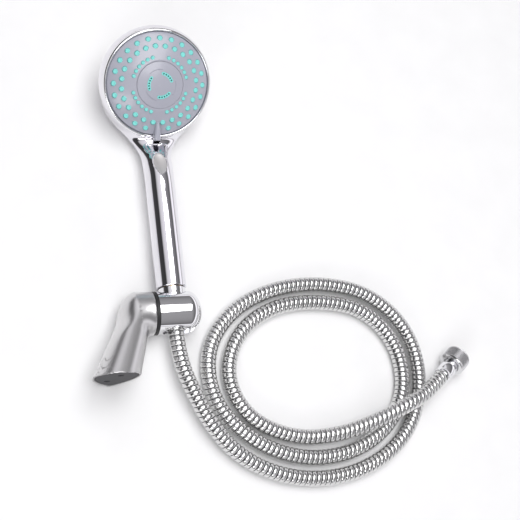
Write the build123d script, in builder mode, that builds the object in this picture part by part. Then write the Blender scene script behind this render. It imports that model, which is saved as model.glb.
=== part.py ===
from build123d import *
from math import atan2, cos, degrees, radians, sin, sqrt, tan
import os

os.makedirs("parts", exist_ok=True)

# A hand shower with its wall bracket and its metal hose, lying flat on a table.
# +Y runs along the handle towards the head, +X along the bracket's swivel axis towards
# the holder's domed end, +Z up. The table is z = 0, and the origin is under the middle
# of the handset and the bracket together. Millimetres.

# ---- driving sizes: holder and bracket ---------------------------------------------
holder_r = 19.0            # barrel of the holder
holder_start = 3.4         # barrel's flat face, from the arm's face
holder_straight = 31.0     # end of the barrel's straight part
dome_depth = 13.0          # domed end beyond the straight part
mouth_cut = 1.5            # flat cut off the barrel round its lower mouth
hand_gap = 6.6             # from the arm's face to the seat's wide end
seat_margin = 0.12         # foot of the conical seat, outside the thread
seat_spread = 2.3          # how much wider the seat is at the barrel's top
liner_wall = 1.2
slot_play = 1.0            # side slot that lets the hose out, on each side of the hose
ring_edge = 0.3            # friction ring and the arm's round face, outside the barrel
ring_wall = 3.3
bolt_r = 3.0
bolt_head_r = 5.0
bolt_head_depth = 1.7
bolt_seat = 1.0            # depth of the step that the bolt's head rests on
bolt_play = 0.1
bolt_tail = 1.0            # thread that stands out of the nut
hub_r = 8.5
hub_depth = 8.0
nut_flats = 10.0
nut_depth = 4.0
spring_washer_depth = 1.5
hub_play = 0.05
ring_rounding = 0.5
liner_setback = 1.0        # the liner's upper edge, inside the barrel's surface

arm_dome = 29.0            # how far the arm's round end reaches behind its face
arm_wall = 2.6
wall_reach = 59.0          # wall face, from the swivel axis
wall_half_width = 21.5
wall_centre_x = -41.0      # middle of the wall face, from the arm's face
wall_top = 40.0            # above the swivel axis
wall_tips = 21.0           # height of the widest place, above the swivel axis
wall_foot = -19.0          # lower point of the face
stem_inset = 1.5           # how far the stem starts inside the round end
plate_depth = 3.0
plate_inset = 2.0          # from the casting's hollow to the plate's edge
screw_hole_r = 2.25
screw_holes = [(-38.0, 24.0), (-46.0, 4.0)]

# ---- driving sizes: handset ---------------------------------------------------------
handle_r = 13.5
collar_rise = 4.3          # lower end of the handle, beyond the holder's mouth
handle_end = 128.0         # where the neck begins to spread
handle_wall = 2.9
skin = 3.0
# neck sections: place beyond the handle's end, half width, half height, rise of the centre
neck = [(0.0, handle_r, handle_r, 0.0), (22.0, 14.2, 10.2, -3.5), (35.0, 18.8, 8.2, -6.6),
        (48.0, 28.0, 8.4, -6.6), (64.0, 40.0, 11.0, -3.0)]
head_reach = 80.0          # from the handle's end to the middle of the face's rim
head_rise = 31.0           # middle of the face's rim, above the handle's axis
head_tilt = 33.5           # degrees between the spray and a square to the handle
head_r = 52.0
head_back = 30.0           # depth of the bowl behind its widest circle
head_front = 11.3          # from the widest circle to the face's rim
bowl_corner = 20.0         # rounding between the bowl's side and its bottom
bowl_wall = 4.0            # at the bowl's side
rim_bulge = 0.35           # how much the bowl has drawn in a little before its rim
face_dome = 12.5
dial_gap = 0.4
ring_wall_r = 0.8          # wall of the rim ring inside the bowl
ring_inset = 1.8           # from the bowl's side to the rim ring's lip
ring_lip = 1.6             # width of the lip's rounding
ring_front = 0.6
ring_seat = 2.0
ring_skirt = 1.5           # the ring's skirt below the face's skirt
face_wall = 2.5
skirt = 6.0
groove_r = 21.4
cap_gap = 0.2
cap_floor = 9.0
floor_wall = 2.0
floor_rim = 1.6
hub_wall = 5.2             # the dial's hub round the spindle
hub_gap = 0.4
spindle_r = 4.0
spindle_flange_r = 8.0
spindle_flange = 2.5
running = 0.08             # radial play of what turns on a shaft
spindle_top = 5.0
tab_tip = 8.5              # reach of the lever beyond the face
tab_room = 0.8
tab_width = 6.0
# the lever's side outline: height above the face's rim, distance beyond the face's edge
tab_outline = [(3.0, -12.8), (7.2, -11.8), (9.0, -7.8), (9.2, -2.8), (8.6, 3.2), (7.2, 7.2),
               (5.2, tab_tip), (2.6, 7.9), (1.3, 5.7), (1.3, -0.4), (-1.0, -1.2), (-1.0, -6.8)]
nozzle_r = 2.0
small_nozzle_r = 1.45
nozzle_play = 0.05
nozzle_stand = 0.9         # height of a nozzle above the face
outer_row_r = 41.2
second_row_r = 34.5
inner_row_r = 25.2
inner_pitch = 11.15        # degrees between neighbours in the four short rows
jet_r = 10.8
jet_width = 2.9
jet_span = 56.0
jet_turn = 51.0            # middle of the first jet, degrees from +X
mark_r = 14.2
mark_width = 0.7
mark_depth = 0.4
mark_lag = 61.0            # degrees from a jet's start to the engraved arc's
mark_span = 50.0
jet_stand = 0.3
cup_to_plate = 0.1
plate_back = -13.0         # chamber plate, from the face's rim
plate_front = -10.0
port_circle = 30.0         # water ports, from the middle
port_r = 4.5
seal_bore_r = 3.1
seal_stand = 0.4
disc_gap = 0.6             # from the chamber plate to the selector disc
disc_depth = 2.6
disc_inset = 3.5
disc_port_r = 3.0
membrane_gap = 0.2
membrane_wall = 1.4
membrane_inset = 3.2
membrane_bore_r = 17.0
detent_circle = 20.0       # ball, spring and cup, from the middle
ball_r = 1.75
ball_track = 2.0
track_depth = 1.4
detent_wall = 1.0
detent_depth = 1.8
detent_floor = 0.8
coil_r = 1.3
coil_wire_r = 0.2
coil_pitch = 0.9
coil_length = 2.4
coil_foot = 1.2            # foot of the coil, behind the chamber plate
screw_r = 1.5
screw_head_r = 3.4
screw_head = 1.95
screw_depth = 8.0
washer_r = 5.8             # under the face's screw
washer_wall = 0.6
washer_room = 0.4
screw_slot = (4.6, 0.8)
tube_r = 4.6
tube_wall = 1.0
tube_bend = 24.0
tube_turn = 4.0            # the tube's bend, beyond the handle's end
tube_rise = -6.6           # its far end, from the handle's axis
tube_margin = 2.14         # from its far end to the rim ring, along the handle

# ---- driving sizes: thread, hose and fittings ---------------------------------------
thread_r = 10.48           # G 1/2
thread_play = 0.08
thread_depth = 13.0
screen_gap = 0.2
screen_depth = 1.2
screen_pitch = 2.2
screen_hole_r = 0.7
nipple_bore_r = 6.8
nipple_shoulder = 12.0     # how far the nipple fills the handle's bore
nipple_neck_r = 9.2
nipple_cone = 10.0         # end of the wide bore
nipple_grip = 5.0          # length of the water tube inside the nipple's tail
nipple_tail = 22.0
nipple_tail_r = 7.0
hose_r = 7.0
hose_wall = 3.0
collar_wall = 0.72         # collar outside the thread
collar_lip = 1.0
collar_back = 2.0          # from the collar to the wedge
collar_rounding = 0.5
collar_gap = 0.2           # between the end nut and the sleeve's flange
seat_gap = 0.3             # between the conical nut and its seat
nut_recess = 2.0           # lower end of the conical nut, inside the holder's mouth
hose_recess = 3.5          # start of the hose, inside the nut
nut_play = 0.3             # between a sleeve and the nut that turns on it
face_to_face = 0.05        # between a washer and what it lies on
flange_inset = 0.98        # from the thread to a sleeve's flange
flange_depth = 2.4
washer_depth = 2.2
washer_bore_r = 5.0
sleeve_wall = 0.3          # sleeve outside the hose
end_sleeve_length = 11.0
end_nut_wall = 1.72        # outside the thread
end_nut_length = 15.0
end_nut_back = 2.5
end_nut_thread = 7.5       # free thread, from the nut's mouth
end_nut_relief = 0.4       # wider bore round the flange and the washer
end_nut_bevel = 1.2
end_nut_lip = 0.8
rib_count = 36
rib_r = 0.55
rib_out = 0.1
rib_start = 2.4
rib_margin = 4.0
floor_gap = 0.2
past = 1.0                 # how far a cut runs past the surface

# ---- sizes that follow --------------------------------------------------------------
mouth_flat = holder_r - mouth_cut
ring_r = holder_r + ring_edge
seat_foot_r = thread_r + seat_margin
seat_top_r = seat_foot_r + seat_spread
hand_x = seat_top_r + hand_gap
slot_width = 2 * (hose_r + slot_play)
handle_start = mouth_flat + collar_rise
collar_r = thread_r + collar_wall
nut_foot = nut_recess - mouth_flat
hose_start = nut_foot + hose_recess
end_nut_r = thread_r + end_nut_wall
cup_r = head_r - bowl_wall
face_r = cup_r - ring_wall_r - dial_gap
ring_lip_r = head_r - ring_inset
handle_bore_r = handle_r - handle_wall
hose_bore_r = hose_r - hose_wall
sleeve_r = hose_r + sleeve_wall
flange_r = thread_r - flange_inset
head_y = handle_end + head_reach

# ---- places -------------------------------------------------------------------------
tilt = radians(head_tilt)
bowl_y = head_y + head_front * sin(tilt)
far_y = bowl_y + (head_r - bowl_corner) * cos(tilt) + bowl_corner
arm_left = wall_centre_x - wall_half_width
swivel_x = -(arm_left + hand_x + head_r) / 2
swivel_y = -(far_y - wall_reach) / 2
swivel_z = ring_r

swivel = Vector(swivel_x, swivel_y, swivel_z)
hand = swivel + Vector(hand_x, 0, 0)
spray = Vector(0, -sin(tilt), cos(tilt))
face = hand + Vector(0, head_y, head_rise)

across = Plane(origin=swivel, x_dir=(1, 0, 0), z_dir=(0, -1, 0))     # x, up; faces the wall
swivel_side = across
swivel_axis = Axis(swivel, (1, 0, 0))
along = Plane(origin=hand, x_dir=(-1, 0, 0), z_dir=(0, 1, 0))        # square to the handle
handle_side = Plane(origin=hand, x_dir=(0, 1, 0), z_dir=(1, 0, 0))   # lengthwise through it
handle_axis = Axis(hand, (0, 1, 0))
front = Plane(origin=face, x_dir=(1, 0, 0), z_dir=spray)             # the face's rim
face_side = Plane(origin=face, x_dir=spray, z_dir=(1, 0, 0))         # spray, towards handle
face_axis = Axis(face, spray)

dome_r = (face_r ** 2 + face_dome ** 2) / (2 * face_dome)


def dome_height(r, sunk=0.0):
    """Height of the domed face above its rim at radius r."""
    return face_dome - dome_r + sqrt((dome_r - sunk) ** 2 - r ** 2)


def seat_r(s):
    """Inside radius of the conical seat at s along the handle's axis."""
    return seat_foot_r + (seat_top_r - seat_foot_r) * (s + mouth_flat) / (holder_r + mouth_flat)


# ======================= bracket =====================================================

def wall_outline(inset):
    """Corners and arc points of the shield-shaped wall face, drawn in by inset."""
    left = (wall_centre_x - wall_half_width + inset, wall_tips)
    right = (wall_centre_x + wall_half_width - inset, wall_tips)
    top = (wall_centre_x, wall_top - inset)
    foot = (wall_centre_x, wall_foot + 1.4 * inset)
    belly = 0.62 * wall_half_width - 0.8 * inset
    low = wall_foot + 0.42 * (wall_tips - wall_foot)
    return left, right, top, foot, belly, low


def ring_outline(inset):
    """The same corners for the arm's section through the swivel axis."""
    half = arm_dome / 2
    r = ring_r - inset
    left = (-arm_dome + inset, 0)
    right = (-inset / 4, 0)
    return left, right, (-half, r), (-half, -r), 0.72 * (half - inset / 2), -0.70 * r


def arm_section(plane, outline):
    """One closed section of the arm: a round top and two sides that meet at the foot."""
    left, right, top, foot, belly, low = outline
    with BuildSketch(plane) as section:
        with BuildLine():
            ThreePointArc(left, top, right)
            ThreePointArc(right, (top[0] + belly, low), foot)
            ThreePointArc(foot, (top[0] - belly, low), left)
        make_face()
    return section.sketch


with BuildPart() as arm_shell:
    # the round end: a cylinder about the swivel axis with a domed back
    with BuildSketch(swivel_side):
        with BuildLine():
            Polyline((-arm_dome / 2, ring_r), (0, ring_r), (0, 0), (-arm_dome, 0))
            EllipticalCenterArc((-arm_dome / 2, 0), arm_dome / 2, ring_r, 90, arc_size=90)
        make_face()
    revolve(axis=swivel_axis)
    # the stem, from the swivel axis to the wall
    loft([arm_section(across, ring_outline(stem_inset)),
          arm_section(across.offset(wall_reach), wall_outline(0))])
    # the hollow behind the wall plate, and the hollow round end
    loft([arm_section(across, ring_outline(arm_wall + stem_inset)),
          arm_section(across.offset(wall_reach), wall_outline(arm_wall))], mode=Mode.SUBTRACT)
    with BuildSketch(swivel_side):
        with BuildLine():
            Polyline((-arm_dome / 2, ring_r - arm_wall), (-arm_wall, ring_r - arm_wall),
                     (-arm_wall, 0), (-arm_dome + arm_wall, 0))
            EllipticalCenterArc((-arm_dome / 2, 0), arm_dome / 2 - arm_wall,
                                ring_r - arm_wall, 90, arc_size=90)
        make_face()
    revolve(axis=swivel_axis, mode=Mode.SUBTRACT)
    # hub round the swivel bolt
    with BuildSketch(Plane(origin=swivel, x_dir=(0, 1, 0), z_dir=(-1, 0, 0))):
        Circle(ring_r - arm_wall / 2)
    extrude(amount=arm_wall)
    with BuildSketch(Plane(origin=swivel, x_dir=(0, 1, 0), z_dir=(-1, 0, 0))):
        Circle(hub_r)
    extrude(amount=hub_depth)
    with BuildSketch(Plane(origin=swivel, x_dir=(0, 1, 0), z_dir=(-1, 0, 0))):
        Circle(bolt_r + running)
    extrude(amount=hub_depth + past, mode=Mode.SUBTRACT)

with BuildPart() as wall_plate:
    extrude(arm_section(across.offset(wall_reach - plate_depth), wall_outline(arm_wall + plate_inset)),
            amount=plate_depth)
    with BuildSketch(across.offset(wall_reach - plate_depth)):
        with Locations(*screw_holes):
            Circle(screw_hole_r)
    extrude(amount=plate_depth, mode=Mode.SUBTRACT)

with BuildPart() as friction_ring:
    with BuildSketch(Plane(origin=swivel, x_dir=(0, 1, 0), z_dir=(1, 0, 0))):
        Circle(ring_r)
        Circle(hub_r, mode=Mode.SUBTRACT)
    extrude(amount=ring_wall)
    fillet(friction_ring.edges().filter_by(GeomType.CIRCLE).sort_by(SortBy.RADIUS)[-2:],
           ring_rounding)

with BuildPart() as holder_barrel:
    with BuildSketch(swivel_side):
        with BuildLine():
            Polyline((holder_straight, holder_r), (holder_start, holder_r), (holder_start, 0),
                     (holder_straight + dome_depth, 0))
            EllipticalCenterArc((holder_straight, 0), dome_depth, holder_r, 0, arc_size=90)
        make_face()
    revolve(axis=swivel_axis)
    # flat round the lower mouth
    with BuildSketch(across.offset(mouth_flat)):
        Rectangle(6 * holder_r, 4 * holder_r)
    extrude(amount=holder_r, mode=Mode.SUBTRACT)
    # bore for the liner, and the side slot
    with BuildSketch(handle_side):
        with BuildLine():
            Polyline((-mouth_flat - past, 0),
                     (-mouth_flat - past, seat_r(-mouth_flat - past) + liner_wall),
                     (holder_r + past, seat_r(holder_r + past) + liner_wall),
                     (holder_r + past, 0), close=True)
        make_face()
    revolve(axis=handle_axis, mode=Mode.SUBTRACT)
    with BuildSketch(handle_side):
        Rectangle(4 * holder_r, slot_width)
    extrude(amount=3 * holder_r, mode=Mode.SUBTRACT)
    # seat of the swivel bolt
    with BuildSketch(Plane(origin=swivel, x_dir=(0, 1, 0), z_dir=(1, 0, 0))):
        Circle(bolt_r + running)
    extrude(amount=hand_x, mode=Mode.SUBTRACT)
    with BuildSketch(Plane(origin=swivel + Vector(holder_start + bolt_seat, 0, 0), x_dir=(0, 1, 0),
                           z_dir=(1, 0, 0))):
        Circle(bolt_head_r + bolt_play)
    extrude(amount=hand_x - holder_start, mode=Mode.SUBTRACT)

with BuildPart() as seat_liner:
    with BuildSketch(handle_side):
        with BuildLine():
            Polyline((-mouth_flat, seat_r(-mouth_flat)),
                     (-mouth_flat, seat_r(-mouth_flat) + liner_wall),
                     (mouth_flat, seat_r(mouth_flat) + liner_wall),
                     (mouth_flat, seat_r(mouth_flat)), close=True)
        make_face()
    revolve(axis=handle_axis)
    with BuildSketch(handle_side):
        Rectangle(4 * holder_r, slot_width)
    extrude(amount=3 * holder_r, mode=Mode.SUBTRACT)
    # the liner's upper edge follows the barrel
    with BuildSketch(swivel_side):
        with BuildLine():
            Polyline((-holder_r, holder_r - liner_setback), (4 * holder_r, holder_r - liner_setback),
                     (4 * holder_r, 3 * holder_r), (-holder_r, 3 * holder_r), close=True)
        make_face()
    revolve(axis=swivel_axis, mode=Mode.SUBTRACT)

with BuildPart() as swivel_bolt:
    with BuildSketch(Plane(origin=swivel + Vector(holder_start + bolt_seat, 0, 0), x_dir=(0, 1, 0),
                           z_dir=(1, 0, 0))):
        Circle(bolt_head_r)
    extrude(amount=bolt_head_depth)
    with BuildSketch(Plane(origin=swivel + Vector(holder_start + bolt_seat, 0, 0), x_dir=(0, 1, 0),
                           z_dir=(-1, 0, 0))):
        Circle(bolt_r)
    extrude(amount=holder_start + bolt_seat + hub_depth + spring_washer_depth + nut_depth
            + bolt_tail)

hub_face = Plane(origin=swivel - Vector(hub_depth + hub_play, 0, 0), x_dir=(0, 1, 0),
                 z_dir=(-1, 0, 0))

with BuildPart() as spring_washer:
    with BuildSketch(hub_face):
        Circle(nut_flats / 2)
        Circle(bolt_r, mode=Mode.SUBTRACT)
    extrude(amount=spring_washer_depth)

with BuildPart() as swivel_nut:
    with BuildSketch(hub_face.offset(spring_washer_depth)):
        RegularPolygon(nut_flats / 2, 6, major_radius=False)
        Circle(bolt_r, mode=Mode.SUBTRACT)
    extrude(amount=nut_depth)

# ======================= handset =====================================================

def neck_loft(inset, mode):
    """Smooth body through the neck's sections, drawn in by inset."""
    sections = []
    for place, width, height, rise in neck:
        with BuildSketch(along.offset(handle_end + place)) as section:
            with Locations((0, rise)):
                Ellipse(width - inset, height - inset)
        sections.append(section.sketch)
    loft(sections, mode=mode)


def bowl_profile(r, depth, corner):
    """Half outline of the bowl, from its widest circle to the middle of its bottom."""
    bottom_r = ((r - corner) ** 2 + depth ** 2 - corner ** 2) / (2 * (depth - corner))
    bottom = degrees(atan2(r - corner, bottom_r - depth))
    CenterArc((-head_front, r - corner), corner, 90, 90 - bottom)
    CenterArc((bottom_r - head_front - depth, 0), bottom_r, 180 - bottom, bottom)


with BuildPart() as handset_shell:
    with BuildSketch(along.offset(handle_start)):
        Circle(handle_r)
    extrude(amount=handle_end - handle_start)
    neck_loft(0, Mode.ADD)
    # the bowl of the head
    with BuildSketch(face_side):
        with BuildLine():
            bowl_profile(head_r, head_back, bowl_corner)
            Polyline((-head_front - head_back, 0), (-ring_seat, 0), (-ring_seat, ring_lip_r))
            ThreePointArc((-ring_seat, ring_lip_r), (-0.6 * head_front, head_r - rim_bulge),
                          (-head_front, head_r))
        make_face()
    revolve(axis=face_axis)
    # hollow: handle bore, neck and cup
    with BuildSketch(along.offset(handle_start - past)):
        Circle(handle_bore_r)
    extrude(amount=handle_end - handle_start + 2 * past, mode=Mode.SUBTRACT)
    neck_loft(skin, Mode.SUBTRACT)
    with BuildSketch(face_side):
        with BuildLine():
            Polyline((-head_front, cup_r), (past, cup_r), (past, 0),
                     (-head_front - head_back + skin, 0))
            bowl_profile(cup_r, head_back - skin, bowl_corner - skin)
        make_face()
    revolve(axis=face_axis, mode=Mode.SUBTRACT)
    # seat of the rim ring, and room over the neck for the lever to swing
    with BuildSketch(face_side):
        with BuildLine():
            Polyline((-ring_seat, 0), (-ring_seat, ring_lip_r), (ring_front, ring_lip_r),
                     (ring_front, face_r + tab_tip + tab_room),
                     (2 * face_dome, face_r + tab_tip + tab_room), (2 * face_dome, 0),
                     close=True)
        make_face()
    revolve(axis=face_axis, mode=Mode.SUBTRACT)

with BuildPart() as rim_ring:
    with BuildSketch(face_side):
        with BuildLine():
            Polyline((ring_front, ring_lip_r - ring_lip), (ring_front, face_r + dial_gap),
                     (-skirt - ring_skirt, face_r + dial_gap), (-skirt - ring_skirt, cup_r),
                     (-ring_seat, cup_r), (-ring_seat, ring_lip_r))
            ThreePointArc((-ring_seat, ring_lip_r), (-ring_seat / 10, ring_lip_r - ring_lip / 3),
                          (ring_front, ring_lip_r - ring_lip))
        make_face()
    revolve(axis=face_axis)

nipple_seat = handle_start + nipple_tail - nipple_grip
tube_start = hand + Vector(0, nipple_seat, 0)
tube_end = head_y - ring_lip_r * cos(tilt) - tube_margin
with BuildPart() as water_tube:
    with BuildLine() as tube_path:
        FilletPolyline(tube_start, hand + Vector(0, handle_end + tube_turn, 0),
                       hand + Vector(0, tube_end, tube_rise), radius=tube_bend)
    with BuildSketch(Plane(origin=tube_start, x_dir=(1, 0, 0), z_dir=(0, 1, 0))):
        Circle(tube_r)
        Circle(tube_r - tube_wall, mode=Mode.SUBTRACT)
    sweep(path=tube_path.line)

with BuildPart() as inlet_nipple:
    with BuildSketch(handle_side):
        with BuildLine():
            Polyline((handle_start - thread_depth, nipple_bore_r),
                     (handle_start - thread_depth, thread_r - thread_play),
                     (handle_start, thread_r - thread_play), (handle_start, handle_bore_r),
                     (handle_start + nipple_shoulder, handle_bore_r),
                     (handle_start + nipple_shoulder, nipple_neck_r),
                     (handle_start + nipple_tail, nipple_tail_r),
                     (handle_start + nipple_tail, tube_r), (nipple_seat, tube_r),
                     (handle_start + nipple_cone, nipple_bore_r), close=True)
        make_face()
    revolve(axis=handle_axis)

with BuildPart() as inlet_screen:
    with BuildSketch(along.offset(handle_start - thread_depth + screen_gap)):
        Circle(nipple_bore_r)
        with GridLocations(screen_pitch, screen_pitch, 4, 4):
            Circle(screen_hole_r, mode=Mode.SUBTRACT)
    extrude(amount=screen_depth)

washer_top = handle_start - thread_depth - face_to_face
with BuildPart() as inlet_washer:
    with BuildSketch(along.offset(washer_top - washer_depth)):
        Circle(flange_r)
        Circle(washer_bore_r, mode=Mode.SUBTRACT)
    extrude(amount=washer_depth)

flange_top = washer_top - washer_depth - face_to_face
nut_floor = flange_top - flange_depth - nut_play
with BuildPart() as cone_nut:
    with BuildSketch(handle_side):
        with BuildLine():
            Polyline((handle_start - screen_gap, thread_r),
                     (handle_start - screen_gap, collar_r + collar_lip),
                     (mouth_flat, collar_r + collar_lip),
                     (mouth_flat - collar_back, seat_r(mouth_flat - collar_back) - seat_gap),
                     (nut_foot, seat_r(nut_foot) - seat_gap), (nut_foot, sleeve_r + nut_play),
                     (nut_floor, sleeve_r + nut_play), (nut_floor, thread_r), close=True)
        make_face()
    revolve(axis=handle_axis)
    fillet(cone_nut.edges().filter_by(GeomType.CIRCLE).sort_by(Axis.Y)[-1:],
           collar_rounding)

# ---- head insides -------------------------------------------------------------------
disc_back = plate_front + disc_gap
membrane_back = disc_back + disc_depth + membrane_gap
with BuildPart() as chamber_plate:
    with BuildSketch(front.offset(plate_back)):
        Circle(cup_r - cup_to_plate)
        Circle(spindle_r + face_to_face, mode=Mode.SUBTRACT)
        with PolarLocations(port_circle, 3):
            Circle(port_r, mode=Mode.SUBTRACT)
        with Locations((0, detent_circle)):
            Circle(ball_track, mode=Mode.SUBTRACT)
    extrude(amount=plate_front - plate_back)

with BuildPart() as selector_seals:
    with BuildSketch(front.offset(plate_back + seal_stand)):
        with PolarLocations(port_circle, 3):
            Circle(port_r)
            Circle(seal_bore_r, mode=Mode.SUBTRACT)
    extrude(amount=plate_front - plate_back)

with BuildPart() as spindle:
    with BuildSketch(face_side):
        with BuildLine():
            Polyline((plate_back - spindle_flange, 0),
                     (plate_back - spindle_flange, spindle_flange_r),
                     (plate_back, spindle_flange_r), (plate_back, spindle_r),
                     (spindle_top, spindle_r), (spindle_top, screw_r),
                     (spindle_top - screw_depth - past, screw_r),
                     (spindle_top - screw_depth - past, 0), close=True)
        make_face()
    revolve(axis=face_axis)

with BuildPart() as detent_spring:
    with BuildLine() as coil:
        Helix(pitch=coil_pitch, height=coil_length, radius=coil_r, direction=spray,
              center=front.from_local_coords((0, detent_circle, plate_back - coil_foot)))
    with BuildSketch(Plane(origin=coil.line @ 0, z_dir=coil.line % 0)):
        Circle(coil_wire_r)
    sweep(path=coil.line, is_frenet=True)

with BuildPart() as detent_cup:
    with BuildSketch(front.offset(plate_back - detent_depth)):
        with Locations((0, detent_circle)):
            Circle(ball_track + detent_wall)
            Circle(ball_track, mode=Mode.SUBTRACT)
    extrude(amount=detent_depth)
    with BuildSketch(front.offset(plate_back - detent_depth - detent_floor)):
        with Locations((0, detent_circle)):
            Circle(ball_track + detent_wall)
    extrude(amount=detent_floor)

with BuildPart() as detent_ball:
    with Locations(front.offset(plate_front)):
        with Locations((0, detent_circle, 0)):
            Sphere(ball_r)

with BuildPart() as selector_disc:
    with BuildSketch(front.offset(disc_back)):
        Circle(face_r - disc_inset)
        Circle(spindle_r + running, mode=Mode.SUBTRACT)
        with PolarLocations(port_circle, 6):
            Circle(disc_port_r, mode=Mode.SUBTRACT)
    extrude(amount=disc_depth)
    # track of the detent ball
    with BuildSketch(front.offset(disc_back)):
        Circle(detent_circle + ball_track)
        Circle(detent_circle - ball_track, mode=Mode.SUBTRACT)
    extrude(amount=track_depth, mode=Mode.SUBTRACT)


def nozzle_rows():
    """Each row of nozzles: places, radius of a nozzle and distance from the middle."""
    short_rows = []
    for quarter in range(4):
        first = 45 + 90 * quarter - 2.5 * inner_pitch
        short_rows.append((PolarLocations(inner_row_r, 6, first, 6 * inner_pitch),
                           small_nozzle_r, inner_row_r))
    return [(PolarLocations(outer_row_r, 23, -75, 345), nozzle_r, outer_row_r),
            (PolarLocations(second_row_r, 24, -82.5), nozzle_r, second_row_r)] + short_rows


with BuildPart() as nozzle_mat:
    with BuildSketch(front.offset(membrane_back)):
        Circle(face_r - membrane_inset)
        Circle(membrane_bore_r, mode=Mode.SUBTRACT)
    extrude(amount=membrane_wall)
    for places, size, distance in nozzle_rows():
        with BuildSketch(front.offset(membrane_back)):
            with places:
                Circle(size)
        extrude(amount=dome_height(distance) + nozzle_stand - membrane_back)

with BuildPart() as face_plate:
    with BuildSketch(face_side):
        with BuildLine():
            Polyline((-skirt, face_r - face_wall), (-skirt, face_r), (0, face_r))
            ThreePointArc((0, face_r), (dome_height(face_r / 2), face_r / 2), (face_dome, 0))
            Polyline((face_dome, 0), (face_dome - face_wall, 0))
            inner_edge = (dome_height(face_r - face_wall, face_wall), face_r - face_wall)
            inner_mid = (dome_height(face_r / 2, face_wall), face_r / 2)
            ThreePointArc((face_dome - face_wall, 0), inner_mid, inner_edge)
            Line(inner_edge, (-skirt, face_r - face_wall))
        make_face()
    revolve(axis=face_axis)
    # floor under the centre cap, with its hub on the spindle
    with BuildSketch(front.offset(cap_floor)):
        Circle(groove_r)
    extrude(amount=face_dome, mode=Mode.SUBTRACT)
    with BuildSketch(front.offset(cap_floor - floor_wall)):
        Circle(groove_r + floor_rim)
    extrude(amount=floor_wall)
    with BuildSketch(front.offset(membrane_back + hub_gap)):
        Circle(spindle_r + hub_wall)
    extrude(amount=cap_floor - membrane_back - hub_gap)
    with BuildSketch(front.offset(membrane_back)):
        Circle(spindle_r + running)
    extrude(amount=2 * face_dome, mode=Mode.SUBTRACT)
    with BuildSketch(front.offset(spindle_top)):
        Circle(washer_r + washer_room)
    extrude(amount=face_dome, mode=Mode.SUBTRACT)
    # the lever
    with BuildSketch(face_side):
        with BuildLine():
            Polyline(*[(height, face_r + reach) for height, reach in tab_outline], close=True)
        make_face()
    extrude(amount=tab_width / 2, both=True)
    # holes for the nozzles and the centre jets
    for places, size, distance in nozzle_rows():
        with BuildSketch(front.offset(membrane_back)):
            with places:
                Circle(size + nozzle_play)
        extrude(amount=2 * face_dome, mode=Mode.SUBTRACT)


jet_starts = [jet_turn - 120 * k - jet_span / 2 for k in range(3)]
jet_lines = [CenterArc((0, 0), jet_r, start, jet_span) for start in jet_starts]
mark_lines = [CenterArc((0, 0), mark_r, start + mark_lag, mark_span) for start in jet_starts]

with BuildPart() as centre_cap:
    with BuildSketch(face_side):
        with BuildLine():
            edge = (dome_height(groove_r - cap_gap), groove_r - cap_gap)
            Polyline((face_dome, 0), (cap_floor, 0), (cap_floor, groove_r - cap_gap), edge)
            ThreePointArc(edge, (dome_height(groove_r / 2), groove_r / 2), (face_dome, 0))
        make_face()
    revolve(axis=face_axis)
    with BuildSketch(front.offset(cap_floor)):
        for line in jet_lines:
            SlotArc(line, jet_width + 2 * nozzle_play)
    extrude(amount=face_dome, mode=Mode.SUBTRACT)
    # three engraved arcs between the jets
    with BuildSketch(front.offset(dome_height(mark_r) - mark_depth)):
        for line in mark_lines:
            SlotArc(line, mark_width)
    extrude(amount=face_dome, mode=Mode.SUBTRACT)

with BuildPart() as centre_jets:
    with BuildSketch(front.offset(cap_floor)):
        for line in jet_lines:
            SlotArc(line, jet_width)
    extrude(amount=dome_height(jet_r) + jet_stand - cap_floor)

with BuildPart() as dial_washer:
    with BuildSketch(front.offset(spindle_top + face_to_face)):
        Circle(washer_r)
        Circle(screw_r + cup_to_plate, mode=Mode.SUBTRACT)
    extrude(amount=washer_wall)

screw_seat = spindle_top + face_to_face + washer_wall
with BuildPart() as face_screw:
    with BuildSketch(face_side):
        with BuildLine():
            Polyline((spindle_top - screw_depth, 0), (spindle_top - screw_depth, screw_r),
                     (screw_seat, screw_r), (screw_seat, screw_head_r),
                     (screw_seat + screw_head, screw_head_r), (screw_seat + screw_head, 0),
                     close=True)
        make_face()
    revolve(axis=face_axis)
    with BuildSketch(front.offset(screw_seat + screw_head - screw_slot[1])):
        Rectangle(screw_slot[0], screw_slot[1])
        Rectangle(screw_slot[1], screw_slot[0])
    extrude(amount=screw_head, mode=Mode.SUBTRACT)

# ======================= hose ========================================================
# Points of the hose, from the middle of the swivel axis. It leaves the conical nut along
# -Y, comes down to the table, makes two turns and a half, and crosses over itself.
low = hose_r + floor_gap - swivel_z
nut_low = end_nut_r + floor_gap - swivel_z
route = [
    (hand_x, hose_start, 0), (hand_x, -41, 0), (29, -70, -1.5), (44, -103, -6), (70, -133, low + 1.3),
    (111, -153, low), (158, -157, low), (204, -144, low), (239, -114, low), (255, -69, low),
    (248, -22, low), (215, 13, low), (170, 25, low), (122, 23, low), (78, 5, low),
    (48, -31, low), (48, -79, low), (77, -115, low), (118, -136, low), (165, -138, low),
    (208, -120, low), (236, -84, low), (235, -37, low), (207, -2, low), (162, 8, low),
    (116, 5, low), (78, -19, low), (63, -59, low), (79, -97, low), (119, -118, low),
    (161, -119, low + 3), (199, -110, low + 12), (230, -98, low + 20), (252, -88, low + 16.6),
    (275, -70, nut_low + 5.2),
]
bend_share = 0.45          # of the shorter leg that a bend takes up
points = [swivel + Vector(*p) for p in route]
radii = []
for before, here, after in zip(points, points[1:], points[2:]):
    turn = (here - before).get_angle(after - here)
    shorter = min((here - before).length, (after - here).length)
    radii.append(bend_share * shorter / tan(radians(turn) / 2))

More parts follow.
